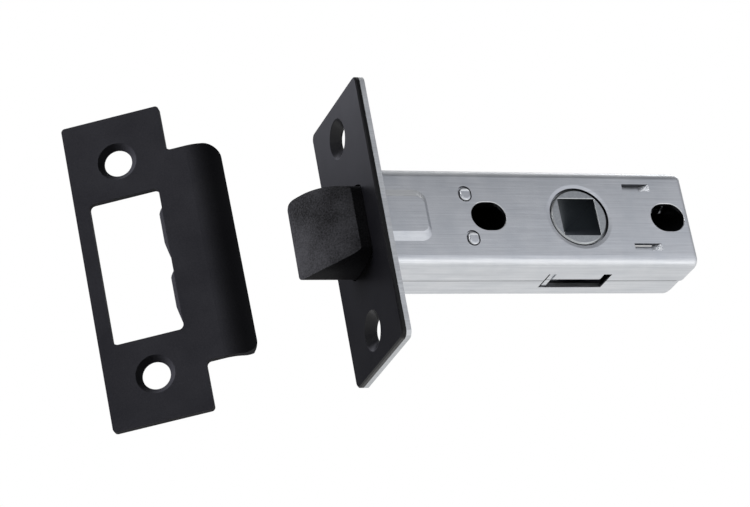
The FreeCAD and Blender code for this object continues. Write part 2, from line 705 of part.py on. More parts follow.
def spring_plate():
    """Plate across the case with a spigot for the bolt spring and four staked tenons."""
    half = SPRING_PLATE_HIGH / 2
    side = IN_SIDE - SPRING_PLATE_GAP
    plate = box(SPRING_PLATE_FRONT, SPRING_PLATE_BACK, -side, side, -half, half)
    spigot = BOLT_SPRING_RADIUS - BOLT_SPRING_WIRE - SPIGOT_GAP
    front = SPRING_PLATE_FRONT - SPIGOT_LONG
    plate = plate.fuse(cylinder_x(BOLT_MIDDLE, 0, spigot, front, SPRING_PLATE_BACK))
    seat = HALF_THICK - STAKE_RECESS_DEEP
    half_z = STAKE_NECK_HIGH / 2
    for sign in (-1, 1):
        z = sign * STAKE_HEIGHT
        neck = box(SPRING_PLATE_FRONT, SPRING_PLATE_BACK, -seat, seat, z - half_z, z + half_z)
        plate = plate.fuse(neck)
    head_high = STAKE_RECESS_DEEP + STAKE_HEAD_PROUD
    for wire in stake_outline(STAKE_HEAD_GAP, STAKE_HEAD_BACK, seat):
        head = prism(wire, FreeCAD.Vector(0, head_high, 0))
        rim = [edge for edge in head.Edges if edge.BoundBox.YMin > seat + head_high - NEAR]
        mark = chisel_mark(head.CenterOfMass.z, seat + head_high)
        head = head.makeFillet(STAKE_HEAD_ROUND, rim).cut(mark)
        plate = plate.fuse(head).fuse(head.mirror(FreeCAD.Vector(0, 0, 0), FreeCAD.Vector(0, 1, 0)))
    return plate.removeSplitter()


def spring_peg(side):
    """Peg on the back wall that keeps a return spring in line."""
    radius = RETURN_SPRING_RADIUS - RETURN_SPRING_WIRE - PEG_GAP
    front = SEAT_BACK + BOLT_TRAVEL + PEG_END_GAP
    z = side * RETURN_HEIGHT
    peg = cylinder_x(RETURN_SPRING_SIDE, z, radius, front, END_INNER)
    return peg.fuse(cylinder_x(RETURN_SPRING_SIDE, z, PEG_TENON, END_INNER, CASE_BACK))


def strike_blank():
    """Flat part of the strike plate, facing -Y about its own middle."""
    wire = rounded_rectangle(
        STRIKE_WIDE, STRIKE_LONG, STRIKE_CORNER, lambda a, b: FreeCAD.Vector(a, 0, b)
    )
    return prism(wire, FreeCAD.Vector(0, STRIKE_THICK, 0))


def strike_lip():
    """Lip beside the mouth: flat at first, then bent back, with two round corners."""
    start = STRIKE_WIDE / 2 + LIP_FLAT
    sweep = math.radians(LIP_SWEEP)
    low = -LIP_HIGH / 2

    def on_bend(radius, angle):
        return FreeCAD.Vector(start + radius * math.sin(angle), LIP_BEND - radius * math.cos(angle), low)

    inner = LIP_BEND - STRIKE_THICK
    root = STRIKE_WIDE / 2 - STRIKE_CORNER
    front = FreeCAD.Vector(root, 0, low)
    rear = FreeCAD.Vector(root, STRIKE_THICK, low)
    edges = [
        Part.LineSegment(front, on_bend(LIP_BEND, 0)).toShape(),
        arc(on_bend, LIP_BEND, 0, sweep),
        Part.LineSegment(on_bend(LIP_BEND, sweep), on_bend(inner, sweep)).toShape(),
        arc(on_bend, inner, sweep, 0),
        Part.LineSegment(on_bend(inner, 0), rear).toShape(),
        Part.LineSegment(rear, front).toShape(),
    ]
    lip = prism(Part.Wire(edges), FreeCAD.Vector(0, 0, LIP_HIGH))
    reach = start + LIP_BEND * math.sin(sweep)
    outline = rounded_rectangle(
        2 * reach, LIP_HIGH, LIP_CORNER, lambda a, b: FreeCAD.Vector(a, -PAST, b)
    )
    return lip.common(prism(outline, FreeCAD.Vector(0, FAR, 0)))


def strike_tang(middle):
    """Small tang bent back from the mouth's edge beside the lip, with a long sloping foot."""
    side = MOUTH_WIDE / 2 - TANG_IN
    low = middle - TANG_ROOT / 2
    high = middle + TANG_ROOT / 2
    bend = TANG_BEND
    soft = bend * (1 - math.sqrt(0.5))
    inner_x = side + STRIKE_THICK
    outer = [(side, TANG_DEEP), (side, bend), (side + soft, soft), (side + bend, 0)]
    p = [FreeCAD.Vector(x, y, low) for x, y in outer]
    foot = FreeCAD.Vector(side + bend, STRIKE_THICK, low)
    heel = FreeCAD.Vector(inner_x, bend, low)
    tip = FreeCAD.Vector(inner_x, TANG_DEEP, low)
    edges = [
        Part.LineSegment(p[0], p[1]).toShape(),
        Part.Arc(p[1], p[2], p[3]).toShape(),
        Part.LineSegment(p[3], foot).toShape(),
        Part.LineSegment(foot, heel).toShape(),
        Part.LineSegment(heel, tip).toShape(),
        Part.LineSegment(tip, p[0]).toShape(),
    ]
    bent = prism(Part.Wire(edges), FreeCAD.Vector(0, 0, TANG_ROOT))
    corners = [(0, low), (0, high), (TANG_DEEP, high - TANG_TOP_IN)]
    corners += [(TANG_DEEP, low + TANG_FOOT_IN), (0, low)]
    taper = Part.makePolygon([FreeCAD.Vector(0, y, z) for y, z in corners])
    slope = [(side, low + TANG_FOOT_SLOPE), (side + TANG_IN, low), (FAR, low), (FAR, high)]
    slope += [(side + TANG_IN, high), (side, high - TANG_TOP_SLOPE), (side, low + TANG_FOOT_SLOPE)]
    front = Part.makePolygon([FreeCAD.Vector(x, -PAST, z) for x, z in slope])
    bent = bent.common(prism(taper, FreeCAD.Vector(FAR, 0, 0)))
    return bent.common(prism(front, FreeCAD.Vector(0, FAR, 0)))


def strike_hole_cutter(z):
    head = STRIKE_SCREW_HEAD / 2
    hole = STRIKE_SCREW_HOLE / 2
    sink = Part.makeCone(head, hole, STRIKE_SCREW_SINK, FreeCAD.Vector(0, 0, z), FreeCAD.Vector(0, 1, 0))
    return sink.fuse(cylinder_y(0, z, hole, -PAST, STRIKE_THICK + PAST))


def strike_plate():
    """Strike plate with its mouth, lip, tangs and screw holes, set down beside the latch."""
    plate = strike_blank().fuse(strike_lip()).removeSplitter()
    edge_x = STRIKE_WIDE / 2
    across = FreeCAD.Vector(0, 1, 0)
    top = LIP_HIGH / 2
    roots = edges_along(plate, across, lambda c: abs(c.x - edge_x) < NEAR and abs(c.z) < top + NEAR)
    plate = plate.makeFillet(LIP_ROOT_ROUND, roots)
    mouth = rounded_rectangle(
        MOUTH_WIDE, MOUTH_HIGH, MOUTH_CORNER, lambda a, b: FreeCAD.Vector(a, -PAST, b)
    )
    plate = plate.cut(prism(mouth, FreeCAD.Vector(0, FAR, 0)))
    for middle in (TANG_UPPER, TANG_LOWER):
        plate = plate.fuse(strike_tang(middle))
    for side in (-1, 1):
        plate = plate.cut(strike_hole_cutter(side * SCREW_CENTRES / 2))
    plate = plate.removeSplitter()
    turn = FreeCAD.Rotation(STRIKE_TURN, STRIKE_TILT, STRIKE_LEAN)
    plate.Placement = FreeCAD.Placement(FreeCAD.Vector(STRIKE_X, STRIKE_Y, STRIKE_Z), turn)
    return plate


def build():
    nodes = {
        "outer_forend": outer_forend(),
        "inner_forend": inner_forend(),
        "front_case_shell": front_case_shell(),
        "rear_case_shell": rear_case_shell(),
        "spring_plate": spring_plate(),
        "latch_bolt": latch_bolt(),
        "bolt_spring": bolt_spring(),
        "follower": follower(),
        "strike_plate": strike_plate(),
    }
    for name, side in (("upper", 1), ("lower", -1)):
        nodes[name + "_tail_arm"] = tail_arm(side)
        nodes[name + "_tail_rivet"] = tail_rivet(side)
        nodes[name + "_return_spring"] = return_spring(side)
        nodes[name + "_spring_peg"] = spring_peg(side)
    return nodes


def main():
    os.makedirs("parts", exist_ok=True)
    for name, shape in build().items():
        solids = len(shape.Solids)
        print(name, "solids", solids, "valid", shape.isValid(), "volume", round(shape.Volume, 2))
        shape.exportStep(os.path.join("parts", name + ".step"))


main()
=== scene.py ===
# %% [markdown]
# # A tubular door latch and its strike plate
#
# The latch is the small mechanism that keeps an inside door shut. A sprung bolt looks out of the door's
# edge, and the handle's spindle turns a follower that draws the bolt back. The strike plate is screwed to
# the door frame and catches the bolt.
#
# The shapes of the metal pieces come from the imported construction model, so this file adds what a camera
# would notice: real coils in place of the springs' plain sleeves, softened edges, and the finish of each
# metal. We start by loading that model.

import math

import bpy
from mathutils import Matrix, Vector


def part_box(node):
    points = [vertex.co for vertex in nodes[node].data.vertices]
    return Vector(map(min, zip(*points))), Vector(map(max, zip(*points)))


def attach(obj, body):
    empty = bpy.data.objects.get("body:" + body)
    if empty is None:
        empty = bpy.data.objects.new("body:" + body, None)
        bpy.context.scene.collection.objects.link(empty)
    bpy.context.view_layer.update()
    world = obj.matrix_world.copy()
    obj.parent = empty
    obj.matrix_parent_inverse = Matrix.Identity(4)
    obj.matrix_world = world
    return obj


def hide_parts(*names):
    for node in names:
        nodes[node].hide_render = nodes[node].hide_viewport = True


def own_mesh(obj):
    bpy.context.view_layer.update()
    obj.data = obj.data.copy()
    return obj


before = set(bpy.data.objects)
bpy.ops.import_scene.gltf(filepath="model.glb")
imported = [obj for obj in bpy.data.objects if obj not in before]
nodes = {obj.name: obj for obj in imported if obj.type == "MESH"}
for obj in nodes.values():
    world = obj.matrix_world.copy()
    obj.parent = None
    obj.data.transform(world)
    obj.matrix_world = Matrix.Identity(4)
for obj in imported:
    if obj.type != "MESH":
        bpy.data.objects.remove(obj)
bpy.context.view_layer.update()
MM = 0.001

print("pieces in the construction model:", len(nodes))

# %% [markdown]
# # Colours and nodes
#
# Colours are easiest to pick as the hex codes of a picture program, but a renderer computes with light, and
# light adds up on a linear scale. One function turns the first into the second.
#
# A material in Blender is a small graph of nodes. One function adds a node, sets its properties and fills
# its inputs: a plain value is stored on the socket, and an output of another node is linked to it. Sums and
# changes of range come again and again, so they get a short function each.

# %% Helpers for colours and nodes


def linear(hex_code):
    """An sRGB hex code as a linear colour with full alpha."""
    channels = [int(hex_code[i : i + 2], 16) / 255 for i in (1, 3, 5)]
    light = [c / 12.92 if c <= 0.04045 else ((c + 0.055) / 1.055) ** 2.4 for c in channels]
    return (*light, 1.0)


def add(tree, kind, inputs=None, **settings):
    """Adds a node; inputs maps a socket's name or number to a value or to another node's output."""
    node = tree.nodes.new(kind)
    for name, value in settings.items():
        setattr(node, name, value)
    for key, value in (inputs or {}).items():
        if isinstance(value, bpy.types.NodeSocket):
            tree.links.new(value, node.inputs[key])
        else:
            node.inputs[key].default_value = value
    return node


def empty_tree(owner):
    """The tree of a new material or world, without the nodes that it starts with."""
    owner.use_nodes = True
    owner.node_tree.nodes.clear()
    return owner.node_tree


def math_node(tree, operation, first, second):
    """The output of a sum, a product or a comparison of two values."""
    return add(tree, "ShaderNodeMath", {0: first, 1: second}, operation=operation).outputs[0]


def map_range(tree, value, old, new):
    """The output of a value whose old range becomes a new one, and that stops at its ends."""
    inputs = {"Value": value, "From Min": old[0], "From Max": old[1], "To Min": new[0], "To Max": new[1]}
    return add(tree, "ShaderNodeMapRange", inputs).outputs["Result"]


print("a dark grey in linear light:", [round(c, 4) for c in linear("#1d1d1f")[:3]])

# %% [markdown]
# # Camera
#
# The photograph was taken with a long lens from below the latch, so that the near end of the case isn't
# much larger than the far end. The place, aim and roll below were worked out from the corners of the case,
# the forend and the holes, whose real sizes are known. The picture is wider than it is high, so the focal
# length counts across its width.

# %% The photograph's camera
CAMERA_PLACE = Vector((-211.92, -467.02, -236.28)) * MM
CAMERA_AIM = Vector((-0.14, -7.2, -8.08)) * MM
CAMERA_ROLL = math.radians(-10.547)
FOCAL_LENGTH = 143.12
SENSOR_WIDTH = 36.0
NEAREST_SEEN = 0.02

camera_data = bpy.data.cameras.new("camera")
camera_data.sensor_fit = "HORIZONTAL"
camera_data.sensor_width = SENSOR_WIDTH
camera_data.lens = FOCAL_LENGTH
camera_data.clip_start = NEAREST_SEEN
camera = bpy.data.objects.new("camera", camera_data)
bpy.context.scene.collection.objects.link(camera)
look = (CAMERA_AIM - CAMERA_PLACE).to_track_quat("-Z", "Y").to_matrix().to_4x4()
camera.matrix_world = Matrix.Translation(CAMERA_PLACE) @ look @ Matrix.Rotation(CAMERA_ROLL, 4, "Z")
bpy.context.scene.camera = camera

print("distance from camera to latch:", round((CAMERA_AIM - CAMERA_PLACE).length, 3), "m")

# %% [markdown]
# # World and floor
#
# Plated metal has almost no colour of its own: it shows what stands around it. Product photographs use
# that. The world is white where the camera and the reflections see it, and gives only faint soft light, so
# that the black faces turned away from the lamps stay black.
#
# A white floor brightens the underside of the latch. It adds most of its white itself where the camera sees
# it, and takes the rest, with the latch's shadow, from the lamps. It is clear from below, so it hides
# nothing from a low camera. All sizes and places in the studio are in metres.

# %% World and floor
WORLD_LIGHT = 0.10
FLOOR_HEIGHT = -0.27
FLOOR_SIZE = 12.0
FLOOR_GLOW = 0.88


def seen_directly(tree, camera_share):
    """1 for the rays of reflections and clear materials, a share for the camera's, 0 for soft light."""
    path = add(tree, "ShaderNodeLightPath").outputs
    camera_rays = math_node(tree, "MULTIPLY", path["Is Camera Ray"], camera_share)
    mirror_rays = math_node(tree, "MAXIMUM", path["Is Glossy Ray"], path["Is Transmission Ray"])
    return math_node(tree, "MAXIMUM", camera_rays, mirror_rays)


def flat_panel(name, width, depth):
    """A flat rectangle round its own middle, facing up."""
    x, y = width / 2, depth / 2
    mesh = bpy.data.meshes.new(name)
    mesh.from_pydata([(-x, -y, 0), (x, -y, 0), (x, y, 0), (-x, y, 0)], [], [(0, 1, 2, 3)])
    panel = bpy.data.objects.new(name, mesh)
    bpy.context.scene.collection.objects.link(panel)
    return panel


def paper_material(name):
    """White paper that glows for the camera and the reflections, and is clear from behind."""
    material = bpy.data.materials.new(name)
    tree = empty_tree(material)
    paper = add(tree, "ShaderNodeBsdfDiffuse", {"Color": linear("#f4f4f4"), "Roughness": 1.0})
    glow = add(tree, "ShaderNodeEmission", {"Color": linear("#ffffff"), "Strength": 1.0})
    clear = add(tree, "ShaderNodeBsdfTransparent")
    behind = add(tree, "ShaderNodeNewGeometry").outputs["Backfacing"]
    glowing_share = seen_directly(tree, FLOOR_GLOW)
    front = add(tree, "ShaderNodeMixShader", {0: glowing_share, 1: paper.outputs[0], 2: glow.outputs[0]})
    either = add(tree, "ShaderNodeMixShader", {0: behind, 1: front.outputs[0], 2: clear.outputs[0]})
    add(tree, "ShaderNodeOutputMaterial", {"Surface": either.outputs[0]})
    return material


world = bpy.data.worlds.new("studio")
world_tree = empty_tree(world)
strength = map_range(world_tree, seen_directly(world_tree, 1.0), (0.0, 1.0), (WORLD_LIGHT, 1.0))
background = add(world_tree, "ShaderNodeBackground", {"Color": linear("#ffffff"), "Strength": strength})
add(world_tree, "ShaderNodeOutputWorld", {"Surface": background.outputs["Background"]})
bpy.context.scene.world = world

floor = flat_panel("floor", FLOOR_SIZE, FLOOR_SIZE)
floor.location.z = FLOOR_HEIGHT
floor.visible_diffuse = False
floor.data.materials.append(paper_material("white paper floor"))

print("world:", world.name, "and floor at", FLOOR_HEIGHT, "m")

# %% [markdown]
# # Cards and canopy
#
# Three cards and a canopy stand round the latch. Only reflections meet them, so they aren't in the
# picture and cast no shadow. A flat face shows whatever stands where it mirrors the line of sight, so the
# two directions below, one for the wide face and one for the forend, say where their cards belong:
#
# - The wide face of the case mirrors the grey card, which is dark above and light below, so the face gets
#   lighter downwards.
# - The forend mirrors a card that is light above, so it gets darker downwards.
# - The white card at the left front gives the small ramps and rims their bright lines.
# - The canopy closes the room above, and keeps the top edges from melting into the white background. It is
#   darker on the left, where the black pieces are.

# %% Cards and canopy
LIT_POINT = Vector((20, 0, 0)) * MM
FOREND_POINT = Vector((0, 0, 27)) * MM
FACE_MIRRORS = Vector((0.375, -0.827, 0.418))
FOREND_MIRRORS = Vector((-0.375, 0.827, 0.418))
CARD_DISTANCE = 0.12
WHITE_CARD_PLACE = Vector((-0.16, -0.22, 0.15))
WHITE_CARD_LIGHT = 6.5
CANOPY_RADIUS = 3.0
CANOPY_FADE = 0.9
CANOPY_LEFT = 0.25
CANOPY_RIGHT = 0.55
CANOPY_LOWEST = 4
CANOPY_STEPS = 24


def glowing(name, hex_code, axis, middle, fade, lights):
    """A material that only gives light: one strength up to a middle on an axis, another past it."""
    material = bpy.data.materials.new(name)
    tree = empty_tree(material)
    place = add(tree, "ShaderNodeTexCoord").outputs["Object"]
    along = add(tree, "ShaderNodeSeparateXYZ", {"Vector": place}).outputs[axis]
    graded = map_range(tree, along, (middle - fade, middle + fade), lights)
    light = add(tree, "ShaderNodeEmission", {"Color": linear(hex_code), "Strength": graded})
    add(tree, "ShaderNodeOutputMaterial", {"Surface": light.outputs["Emission"]})
    return material


def only_mirrored(piece, material):
    """Lets reflections alone meet a piece of the stage."""
    piece.data.materials.append(material)
    piece.visible_camera = False
    piece.visible_diffuse = False
    piece.visible_shadow = False
    piece.visible_transmission = False
    return piece


def graded_card(name, start, way, width, below, above, fade, lights, hex_code):
    """A card that a face mirrors along a way from a start, with one light below that way, one above."""
    card = flat_panel(name, width, below + above)
    aim = (below - above) / 2
    facing = (-way).to_track_quat("Z", "Y").to_matrix().to_4x4()
    card.matrix_world = Matrix.Translation(start + way) @ facing @ Matrix.Translation((0, -aim, 0))
    return only_mirrored(card, glowing(name, hex_code, "Y", aim, fade, lights))


def canopy_mesh():
    """The part of a sphere from its lowest angle, in degrees, to overhead, as a grid of points."""
    rings = CANOPY_STEPS // 4
    points = []
    for i in range(rings + 1):
        height = math.radians(CANOPY_LOWEST + (90 - CANOPY_LOWEST) * i / rings)
        for j in range(CANOPY_STEPS):
            turn = 2 * math.pi * j / CANOPY_STEPS
            flat = CANOPY_RADIUS * math.cos(height)
            points.append((flat * math.cos(turn), flat * math.sin(turn), CANOPY_RADIUS * math.sin(height)))
    faces = []
    for i in range(rings):
        for j in range(CANOPY_STEPS):
            k = (j + 1) % CANOPY_STEPS
            row, above = i * CANOPY_STEPS, (i + 1) * CANOPY_STEPS
            faces.append((row + j, row + k, above + k, above + j))
    mesh = bpy.data.meshes.new("canopy")
    mesh.from_pydata(points, [], faces)
    return mesh


reflectors = [
    graded_card(
        "grey card",
        start=LIT_POINT,
        way=FACE_MIRRORS * CARD_DISTANCE,
        width=0.50,
        below=0.13,
        above=0.055,
        fade=0.025,
        lights=(0.93, 0.18),
        hex_code="#f7f9ff",
    ),
    graded_card(
        "forend card",
        start=FOREND_POINT,
        way=FOREND_MIRRORS * CARD_DISTANCE,
        width=0.20,
        below=0.10,
        above=0.10,
        fade=0.03,
        lights=(0.13, 1.25),
        hex_code="#f1f2ff",
    ),
    graded_card(
        "white card",
        start=LIT_POINT,
        way=WHITE_CARD_PLACE - LIT_POINT,
        width=0.12,
        below=0.06,
        above=0.06,
        fade=0.06,
        lights=(WHITE_CARD_LIGHT, WHITE_CARD_LIGHT),
        hex_code="#ffffff",
    ),
]

canopy = bpy.data.objects.new("canopy", canopy_mesh())
bpy.context.scene.collection.objects.link(canopy)
canopy_grey = glowing("grey canopy", "#ffffff", "X", 0.0, CANOPY_FADE, (CANOPY_LEFT, CANOPY_RIGHT))
reflectors.append(only_mirrored(canopy, canopy_grey))

print("only mirrored:", [piece.name for piece in reflectors])

# %% [markdown]
# # Lamps
#
# Area lamps are the softboxes of the studio. Each is aimed at the middle of the latch, so moving one is a
# matter of changing its place. A lamp's mirror image and its soft light can be switched separately:
#
# - The lamp under the front edge is only mirrored, and makes the bright band along the fold.
# - The lamp at the left only gives soft light, which shapes the black bolt and the strike plate. Its mirror
#   image would put a bright crescent on the rim of every hole.
# - The lamp at the upper right does both, and separates the top from the background.

# %% Softboxes


def softbox(name, place, size, watts, mirrored=True, soft=True):
    """A square area lamp at a place in metres, aimed at the latch, for reflections, soft light or both."""
    data = bpy.data.lights.new(name, "AREA")
    data.shape = "SQUARE"
    data.size = size
    data.energy = watts
    lamp = bpy.data.objects.new(name, data)
    facing = (LIT_POINT - Vector(place)).to_track_quat("-Z", "Y").to_matrix().to_4x4()
    lamp.matrix_world = Matrix.Translation(place) @ facing
    lamp.visible_camera = False
    lamp.visible_glossy = mirrored
    lamp.visible_diffuse = soft
    bpy.context.scene.collection.objects.link(lamp)
    return lamp


lamps = [
    softbox("lamp below the front", place=(0.16, -0.17, -0.24), size=0.40, watts=0.28, soft=False),
    softbox("lamp at the left", place=(-0.75, 0.08, 0.30), size=0.4, watts=22.0, mirrored=False),
    softbox("lamp at the upper right", place=(0.8, 0.3, 0.9), size=0.5, watts=3.0),
]

print("lamps:", [lamp.name for lamp in lamps])

# %% [markdown]
# # What the surfaces have in common
#
# Each surface is a colour, a gloss and a very low relief, and all three follow the same few noises. That is
# what makes it look worked and not painted: where its colour changes, its gloss changes too.
#
# Sizes are in millimetres here, because that is how one thinks about a grain. A noise keeps mostly between
# 0.3 and 0.7, so these two values stand for its low and high places. The relief is a fiftieth of a
# millimetre high.

# %% Helpers for surfaces
NOISE_RANGE = (0.3, 0.7)
RELIEF_HEIGHT = 0.02 * MM


def new_surface(name):
    """A new material, its tree and its surface shader, and the object's coordinates in millimetres."""
    material = bpy.data.materials.new(name)
    tree = empty_tree(material)
    shader = add(tree, "ShaderNodeBsdfPrincipled")
    add(tree, "ShaderNodeOutputMaterial", {"Surface": shader.outputs["BSDF"]})
    place = add(tree, "ShaderNodeTexCoord").outputs["Object"]
    millimetres = add(tree, "ShaderNodeVectorMath", {0: place, "Scale": 1 / MM}, operation="SCALE")
    return material, tree, shader, millimetres.outputs["Vector"]


def noise(tree, place, size, detail, rough):
    """A noise whose largest spots have a size in millimetres."""
    inputs = {"Vector": place, "Scale": 1 / size, "Detail": detail, "Roughness": rough}
    return add(tree, "ShaderNodeTexNoise", inputs).outputs["Fac"]


def vary(tree, grain, middle, spread):
    """A value that follows a noise, a spread up or down from its middle."""
    return map_range(tree, grain, NOISE_RANGE, (middle - spread, middle + spread))


def two_tone(tree, grain, dark_hex, light_hex, fade):
    """A dark colour in a noise's low places and a light one in its high places, with a fade between."""
    node = add(tree, "ShaderNodeValToRGB", {"Fac": grain})
    dark, light = node.color_ramp.elements
    dark.position, dark.color = 0.5 - fade, linear(dark_hex)
    light.position, light.color = 0.5 + fade, linear(light_hex)
    return node.outputs["Color"]


def shaded(tree, colour, shade_hex, share):
    """A colour that gives way to another one as a share goes from 0 to 1."""
    mix = add(tree, "ShaderNodeMix", {0: share, 6: colour, 7: linear(shade_hex)}, data_type="RGBA")
    return mix.outputs[2]


def inside_box(tree, place, middle, half):
    """1 inside a box of the given middle and half sizes, and 0 outside it."""
    from_middle = add(tree, "ShaderNodeVectorMath", {0: place, 1: middle}, operation="SUBTRACT")
    distance = add(tree, "ShaderNodeVectorMath", {0: from_middle.outputs[0]}, operation="ABSOLUTE")
    share = add(tree, "ShaderNodeVectorMath", {0: distance.outputs[0], 1: half}, operation="DIVIDE")
    x, y, z = add(tree, "ShaderNodeSeparateXYZ", {"Vector": share.outputs[0]}).outputs
    farthest = math_node(tree, "MAXIMUM", math_node(tree, "MAXIMUM", x, y), z)
    return math_node(tree, "LESS_THAN", farthest, 1.0)


def dress(tree, shader, colour, gloss, relief, strength):
    """Gives a surface shader its colour, its roughness and a relief of a given strength."""
    inputs = {"Height": relief, "Strength": strength, "Distance": RELIEF_HEIGHT}
    bump = add(tree, "ShaderNodeBump", inputs).outputs["Normal"]
    for socket, output in (("Base Color", colour), ("Roughness", gloss), ("Normal", bump)):
        tree.links.new(output, shader.inputs[socket])


print("a relief is", RELIEF_HEIGHT / MM, "mm high")

# %% [markdown]
# # Zinc-plated sheet steel
#
# The case and the plate behind the forend are pressed from cold-rolled steel strip, about a millimetre
# thick, and then bright zinc plated. Rolling leaves faint lines along the strip, under a tenth of a
# millimetre apart. They are drawn 0.3 mm apart, which is as fine as the picture can show. The zinc itself
# is slightly blue, and its gloss is a little cloudy from the bath.
#
# The lines are noise that is stretched along X. They mostly move the gloss and a very low relief, and dull
# the colour a little, because a metal's lines are seen through their gloss.
#
# The inside of the case, the walls of its holes, its gaps and the very edges of the seam get painted shade:
# their colour is darkened where shade falls in deep and narrow places. Boxes find these places, and the way
# that a face looks tells them from the outer skin.

# %% Zinc-plated sheet
# These boxes place the painted shade: inside the case, in its narrow gaps and along the seam.
INSIDE = ((33.6, 0.0, 0.0), (33.6, 7.12, 9.35))
NARROW_GAPS = ((34.0, 0.0, 0.0), (33.5, 2.8, 10.0))
SEAM_EDGES = ((33.6, 0.0, 0.0), (33.6, 0.10, 11.0))
FACING_OUT = 2.0
LINE_SPACING = 0.3
LINE_LENGTH = 14.0
CLOUD_SIZE = 5.0
PIT_SIZE = 0.28
CLOUD_FADE = 0.15
STREAK_DEPTH = 0.28
STREAK_HEX = "#8e9196"
PAINTED_SHADE_HEX = "#3a3b40"
PLATE_RELIEF = 0.8


def facing_in(tree, place, axis):
    """1 on faces that don't look outward along one axis."""
    normal = add(tree, "ShaderNodeTexCoord").outputs["Normal"]
    distance = add(tree, "ShaderNodeSeparateXYZ", {"Vector": place}).outputs[axis]
    tilt = add(tree, "ShaderNodeSeparateXYZ", {"Vector": normal}).outputs[axis]
    return math_node(tree, "LESS_THAN", math_node(tree, "MULTIPLY", distance, tilt), FACING_OUT)


def painted_shade_inside(tree, place):
    """Where the painted shade goes: 1 inside the case, on the walls of its holes, in the horn slots and
    along the seam.
    """
    inner = math_node(tree, "MULTIPLY", inside_box(tree, place, *INSIDE), facing_in(tree, place, "Y"))
    gaps = math_node(tree, "MULTIPLY", inside_box(tree, place, *NARROW_GAPS), facing_in(tree, place, "Z"))
    seam = inside_box(tree, place, *SEAM_EDGES)
    return math_node(tree, "MAXIMUM", inner, math_node(tree, "MAXIMUM", gaps, seam))


def zinc_plate(name, light_hex, dark_hex, roughness, spread):
    """Bright zinc on rolled strip, with its lines along X."""
    material, tree, shader, place = new_surface(name)
    line_shape = (1 / LINE_LENGTH, 1 / LINE_SPACING, 1 / LINE_SPACING)
    along = add(tree, "ShaderNodeVectorMath", {0: place, 1: line_shape}, operation="MULTIPLY")
    lines = noise(tree, along.outputs["Vector"], size=1.0, detail=3.0, rough=0.6)
    clouds = noise(tree, place, size=CLOUD_SIZE, detail=4.0, rough=0.55)
    pits = noise(tree, place, size=PIT_SIZE, detail=2.0, rough=0.5)
    colour = two_tone(tree, clouds, dark_hex, light_hex, CLOUD_FADE)
    colour = shaded(tree, colour, STREAK_HEX, map_range(tree, lines, NOISE_RANGE, (0.0, STREAK_DEPTH)))
    # Painted shade: the inside of the case, the hole walls, the horn slots and the seam edges are darkened.
    colour = shaded(tree, colour, PAINTED_SHADE_HEX, painted_shade_inside(tree, place))
    line_gloss = vary(tree, lines, roughness, spread)
    gloss = math_node(tree, "ADD", line_gloss, vary(tree, clouds, 0.0, spread / 2))
    shader.inputs["Metallic"].default_value = 1.0
    dress(tree, shader, colour, gloss, math_node(tree, "ADD", lines, pits), PLATE_RELIEF)
    return material


case_zinc = zinc_plate("zinc-plated rolled steel case", "#d3d5d8", "#c9ccd0", roughness=0.36, spread=0.06)
edge_zinc = zinc_plate("zinc-plated steel backing plate", "#cfd1d3", "#c2c4c6", roughness=0.60, spread=0.08)

print("materials:", case_zinc.name, "and", edge_zinc.name)

# %% [markdown]
# # Black coating
#
# The bolt, the forend's cover and the strike plate are black. It is a baked epoxy coat, satin rather than
# glossy, with a fine orange peel that only shows as a softer edge to each reflection. Under it the bolt is
# a casting, and the coarser grain of its skin shows through the coat.
#
# A coat isn't metallic. Its specular level is low, since a satin coat scatters most of its gloss. Grain and
# gloss come from two noises, one as fine as the peel and one as broad as a fingertip.

# %% Black coat
PEEL_SIZE = 0.22
CAST_SIZE = 0.30
PATCH_SIZE = 9.0
COAT_FADE = 0.12
COAT_SPREAD = 0.04


def black_coat(name, light_hex, dark_hex, roughness, peel_size, peel, gloss_level):
    """Satin black epoxy with a peel of a given size and depth."""
    material, tree, shader, place = new_surface(name)
    grain = noise(tree, place, size=peel_size, detail=3.0, rough=0.6)
    patches = noise(tree, place, size=PATCH_SIZE, detail=3.0, rough=0.5)
    average = math_node(tree, "MULTIPLY", math_node(tree, "ADD", grain, patches), 0.5)
    colour = two_tone(tree, average, dark_hex, light_hex, COAT_FADE)
    shader.inputs["Specular IOR Level"].default_value = gloss_level
    dress(tree, shader, colour, vary(tree, patches, roughness, COAT_SPREAD), grain, peel)
    return material


forend_black = black_coat(
    "black epoxy coat on rolled steel",
    light_hex="#09090b",
    dark_hex="#050507",
    roughness=0.36,
    peel_size=PEEL_SIZE,
    peel=0.35,
    gloss_level=0.25,
)
bolt_black = black_coat(
    "black epoxy coat on the cast bolt",
    light_hex="#2d2d30",
    dark_hex="#101011",
    roughness=0.50,
    peel_size=CAST_SIZE,
    peel=0.9,
    gloss_level=0.03,
)
strike_black = black_coat(
    "black epoxy coat on the strike",
    light_hex="#28282c",
    dark_hex="#202024",
    roughness=0.50,
    peel_size=PEEL_SIZE,
    peel=0.35,
    gloss_level=0.03,
)

print("black coats:", forend_black.name, bolt_black.name, strike_black.name)

# %% [markdown]
# # Cast zinc follower and drawn steel wire
#
# The follower is die cast in zinc alloy. It is smooth from the die, a little darker than the plated sheet,
# and it has the soft, fine frosting of a casting that has been tumbled. The walls of the square hole get
# painted shade: a darker colour where shade falls in the hole.
#
# Springs are drawn steel wire. The die leaves lines along the wire, far too fine to see on wire this
# thin, so what shows is an even oiled gloss with darker patches. The two rivets are the same metal.

# %% Castings and wire
FROST_SIZE = 0.35
OIL_SIZE = 1.6
FROST_FADE = 0.15
FROST_SPREAD = 0.06
SQUARE_HOLE = ((44.0, 0.0, 0.0), (3.905, 20.0, 3.905))
SQUARE_HOLE_SHADE_HEX = "#454c52"


